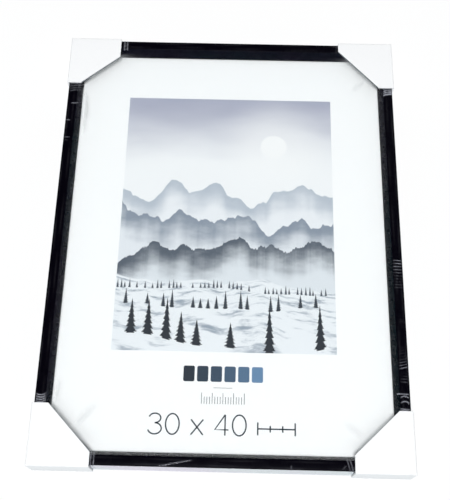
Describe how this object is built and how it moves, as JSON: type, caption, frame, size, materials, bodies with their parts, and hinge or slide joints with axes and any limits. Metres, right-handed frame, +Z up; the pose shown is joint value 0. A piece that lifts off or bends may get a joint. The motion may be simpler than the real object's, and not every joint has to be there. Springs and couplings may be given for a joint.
{
  "type": "poster frame",
  "caption": "Slim black poster frame with glazing, a printed insert, a hardboard back held by turn clips, strap hangers, pull-off card corners and shrink film.",
  "frame": {"origin": "on the table under the middle of the frame, level with the undersides of the card corners", "axes": "+Z up out of the glazing, +Y towards the head of the picture, +X towards its right edge"},
  "size_m": [0.319, 0.419, 0.028],
  "materials": {
    "black_foil": "fibreboard moulding wrapped in smooth black satin foil",
    "wedge_steel": "plain corrugated sheet steel",
    "clear_glass": "clear float glass, polished",
    "printed_paper": "matt white paper printed in blue-grey",
    "hardboard": "brown hardboard, smooth outside",
    "zinc_steel": "pressed steel, bright zinc plated",
    "white_card": "white folded board, matt",
    "clear_film": "thin clear shrink film, glossy, drawn into folds at the rails"
  },
  "bodies": {
    "frame": {"top_rail": "black_foil", "left_rail": "black_foil", "bottom_rail": "black_foil", "right_rail": "black_foil", "corner_wedge_bottom_left": "wedge_steel", "corner_wedge_bottom_right": "wedge_steel", "corner_wedge_top_right": "wedge_steel", "corner_wedge_top_left": "wedge_steel", "glazing": "clear_glass", "printed_insert": "printed_paper", "backing_board": "hardboard", "clip_rivet_top_left": "zinc_steel", "clip_rivet_top_right": "zinc_steel", "clip_rivet_left_upper": "zinc_steel", "clip_rivet_left_lower": "zinc_steel", "clip_rivet_bottom_left": "zinc_steel", "clip_rivet_bottom_right": "zinc_steel", "clip_rivet_right_upper": "zinc_steel", "clip_rivet_right_lower": "zinc_steel", "hanger_strap_portrait": "zinc_steel", "hanger_rivet_portrait": "zinc_steel", "hanger_strap_landscape": "zinc_steel", "hanger_rivet_landscape": "zinc_steel", "shrink_film": "clear_film"},
    "turn_clip_top_left": {"turn_clip_top_left": "zinc_steel"},
    "turn_clip_top_right": {"turn_clip_top_right": "zinc_steel"},
    "turn_clip_left_upper": {"turn_clip_left_upper": "zinc_steel"},
    "turn_clip_left_lower": {"turn_clip_left_lower": "zinc_steel"},
    "turn_clip_bottom_left": {"turn_clip_bottom_left": "zinc_steel"},
    "turn_clip_bottom_right": {"turn_clip_bottom_right": "zinc_steel"},
    "turn_clip_right_upper": {"turn_clip_right_upper": "zinc_steel"},
    "turn_clip_right_lower": {"turn_clip_right_lower": "zinc_steel"},
    "hanger_ring_portrait": {"hanger_ring_portrait": "zinc_steel"},
    "hanger_ring_landscape": {"hanger_ring_landscape": "zinc_steel"},
    "card_corner_bottom_left": {"card_corner_bottom_left": "white_card"},
    "card_corner_bottom_right": {"card_corner_bottom_right": "white_card"},
    "card_corner_top_right": {"card_corner_top_right": "white_card"},
    "card_corner_top_left": {"card_corner_top_left": "white_card"}
  },
  "joints": [
    {"name": "turn_clip_top_left_turn", "type": "hinge", "parent": "frame", "child": "turn_clip_top_left", "pos_m": [-0.07, 0.19, 0.0104], "axis": [0, 0, 1], "continuous": true},
    {"name": "turn_clip_top_right_turn", "type": "hinge", "parent": "frame", "child": "turn_clip_top_right", "pos_m": [0.07, 0.19, 0.0104], "axis": [0, 0, 1], "continuous": true},
    {"name": "turn_clip_left_upper_turn", "type": "hinge", "parent": "frame", "child": "turn_clip_left_upper", "pos_m": [-0.14, 0.11, 0.0104], "axis": [0, 0, 1], "continuous": true},
    {"name": "turn_clip_left_lower_turn", "type": "hinge", "parent": "frame", "child": "turn_clip_left_lower", "pos_m": [-0.14, -0.11, 0.0104], "axis": [0, 0, 1], "continuous": true},
    {"name": "turn_clip_bottom_left_turn", "type": "hinge", "parent": "frame", "child": "turn_clip_bottom_left", "pos_m": [-0.07, -0.19, 0.0104], "axis": [0, 0, 1], "continuous": true},
    {"name": "turn_clip_bottom_right_turn", "type": "hinge", "parent": "frame", "child": "turn_clip_bottom_right", "pos_m": [0.07, -0.19, 0.0104], "axis": [0, 0, 1], "continuous": true},
    {"name": "turn_clip_right_upper_turn", "type": "hinge", "parent": "frame", "child": "turn_clip_right_upper", "pos_m": [0.14, 0.11, 0.0104], "axis": [0, 0, 1], "continuous": true},
    {"name": "turn_clip_right_lower_turn", "type": "hinge", "parent": "frame", "child": "turn_clip_right_lower", "pos_m": [0.14, -0.11, 0.0104], "axis": [0, 0, 1], "continuous": true},
    {"name": "hanger_ring_portrait_swing", "type": "hinge", "parent": "frame", "child": "hanger_ring_portrait", "pos_m": [0, 0.155, 0.0089], "axis": [-1, 0, 0], "range_deg": [-47, 124]},
    {"name": "hanger_ring_landscape_swing", "type": "hinge", "parent": "frame", "child": "hanger_ring_landscape", "pos_m": [0.105, 0, 0.0089], "axis": [0, 1, 0], "range_deg": [-47, 124]},
    {"name": "card_corner_bottom_left_pull_off", "type": "slide", "parent": "frame", "child": "card_corner_bottom_left", "axis": [-0.7071, -0.7071, 0], "range_m": [0, 0.05]},
    {"name": "card_corner_bottom_right_pull_off", "type": "slide", "parent": "frame", "child": "card_corner_bottom_right", "axis": [0.7071, -0.7071, 0], "range_m": [0, 0.05]},
    {"name": "card_corner_top_right_pull_off", "type": "slide", "parent": "frame", "child": "card_corner_top_right", "axis": [0.7071, 0.7071, 0], "range_m": [0, 0.05]},
    {"name": "card_corner_top_left_pull_off", "type": "slide", "parent": "frame", "child": "card_corner_top_left", "axis": [-0.7071, 0.7071, 0], "range_m": [0, 0.05]}
  ]
}
